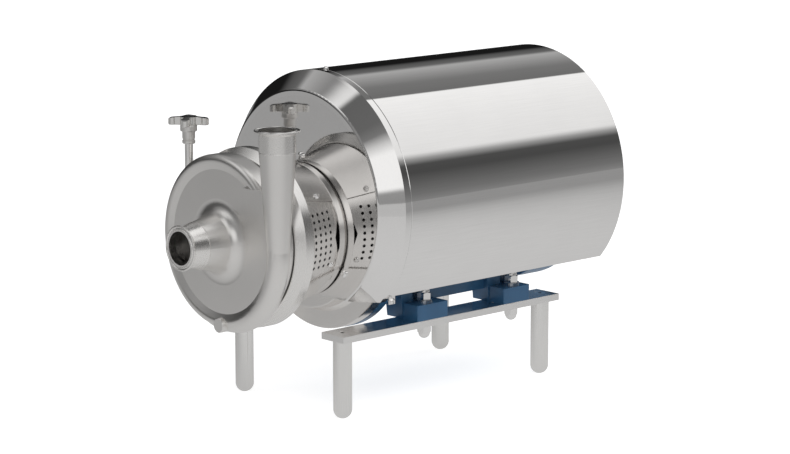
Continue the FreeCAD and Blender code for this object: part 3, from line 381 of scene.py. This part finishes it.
def floor_material():
    mat = bpy.data.materials.new("floor")
    t = Tree(mat)
    out = t.add("ShaderNodeOutputMaterial")
    co = t.coords("Object")
    far = t.add("ShaderNodeVectorMath", operation="LENGTH")
    t.link(co, far.inputs[0])
    x, y, z = t.split(co)
    far_front = t.span(far.outputs["Value"], *PAINTED_FALLOFF_FRONT)
    far_rear = t.span(far.outputs["Value"], *PAINTED_FALLOFF_REAR)
    rear = t.span(y, *REAR_START)
    painted_falloff = t.math("ADD", far_front, t.math("MULTIPLY", rear, t.math("SUBTRACT", far_rear, far_front)))
    # Painted pool of light: a glowing grey seen in reflections and lighting the object, fading with distance
    # and towards -X
    painted_floor_light = t.add("ShaderNodeEmission")
    t.link(t.math("MULTIPLY", painted_falloff, t.span(x, *PAINTED_LIGHT_ACROSS)), painted_floor_light.inputs[1])
    white = t.add("ShaderNodeBsdfDiffuse")
    white.inputs[0].default_value = FLOOR_COLOUR
    glow = t.add("ShaderNodeEmission")
    glow.inputs[1].default_value = FLOOR_GLOW
    lit = t.add("ShaderNodeAddShader")
    t.link(white.outputs[0], lit.inputs[0])
    t.link(glow.outputs[0], lit.inputs[1])
    t.link(t.for_camera(painted_floor_light.outputs[0], lit.outputs[0]), out.inputs[0])
    return mat


def lay_floor():
    bm = bmesh.new()
    bmesh.ops.create_grid(bm, x_segments=8, y_segments=8, size=FLOOR_SIZE)
    mesh = bpy.data.meshes.new("floor")
    bm.to_mesh(mesh)
    bm.free()
    floor = bpy.data.objects.new("floor", mesh)
    scene.collection.objects.link(floor)
    mesh.materials.append(floor_material())


lay_floor()


# World: white to the camera, and to all other rays a studio of light and dark panels.
# The levels go round the shaft by the angle from +X, in degrees, with +Z at 90. One set is beside and behind
# the object, the other in front of it, and straight ahead along -Y is one plain grey.

BESIDE = [
    (-180, 0.02), (-150, 0.15), (-90, 0.4), (-5, 0.28), (4, 0.18), (16, 0.11),
    (23, 0.07), (30, 0.08), (35, 0.35), (40, 0.86), (70, 0.92), (100, 1.0),
    (101, 0.17), (116, 0.20), (139, 0.43), (144, 0.14), (152, 0.09), (158, 0.01),
    (172, 0.01)]
IN_FRONT = [
    (-180, 0.05), (-176, 0.17), (-150, 0.21), (-110, 0.45), (-84, 0.64), (-40, 0.60),
    (-20, 0.45), (0, 0.30), (8, 0.32), (12, 1.0), (44, 1.0), (53, 0.66),
    (62, 0.20), (72, 0.14), (98, 0.13), (102, 0.80), (112, 0.90), (128, 0.85),
    (137, 0.30), (141, 0.18), (148, 0.29), (154, 0.16), (159, 0.05), (165, 0.01),
    (175, 0.02), (179.5, 0.04)]
FRONT_TO_BESIDE = (-0.38, -0.22, 0.0, 1.0)
AHEAD_TO_FRONT = (-0.90, -0.78, 0.0, 1.0)
AHEAD_GREY = (0.24, 0.24, 0.24, 1.0)
WHITE = (1.0, 1.0, 1.0, 1.0)


def panel_ramp(w, turn, levels):
    return w.ramp(turn, [((angle + 180.0) / 360.0, level) for angle, level in levels])


def colour_mix(w, factor):
    mix = w.add("ShaderNodeMix", data_type="RGBA")
    w.link(factor, mix.inputs[0])
    return mix, mix.inputs[6], mix.inputs[7]


def studio_world():
    world = bpy.data.worlds.new("studio")
    scene.world = world
    w = Tree(world)
    out = w.add("ShaderNodeOutputWorld")
    dx, dy, dz = w.split(w.coords("Generated"))
    turn = w.math("MULTIPLY_ADD", w.math("ARCTAN2", dz, dx), 0.5 / math.pi, 0.5)
    front, front_low, front_high = colour_mix(w, w.span(dy, *AHEAD_TO_FRONT))
    front_low.default_value = AHEAD_GREY
    w.link(panel_ramp(w, turn, IN_FRONT), front_high)
    whole, whole_low, whole_high = colour_mix(w, w.span(dy, *FRONT_TO_BESIDE))
    w.link(front.outputs[2], whole_low)
    w.link(panel_ramp(w, turn, BESIDE), whole_high)
    studio = w.add("ShaderNodeBackground")
    w.link(whole.outputs[2], studio.inputs[0])
    plain = w.add("ShaderNodeBackground")
    plain.inputs[0].default_value = WHITE
    w.link(w.for_camera(studio.outputs[0], plain.outputs[0]), out.inputs[0])


studio_world()


# Soft lamps, hidden from reflections

def lamp(name, place, target, side, power):
    data = bpy.data.lights.new(name, "AREA")
    data.shape = "RECTANGLE"
    data.size = side
    data.size_y = side
    data.energy = power
    obj = bpy.data.objects.new(name, data)
    scene.collection.objects.link(obj)
    obj.location = place
    x, y, z = (end - start for start, end in zip(place, target))
    obj.rotation_euler = (math.atan2(math.hypot(x, y), -z), 0.0, math.atan2(x, -y))
    obj.visible_glossy = False


lamp("key", (1.2, -2.4, 3.0), (0.0, 0.0, 0.2), 2.0, 45.0)
lamp("fill", (2.6, 0.8, 1.6), (0.0, 0.1, 0.2), 1.6, 16.0)
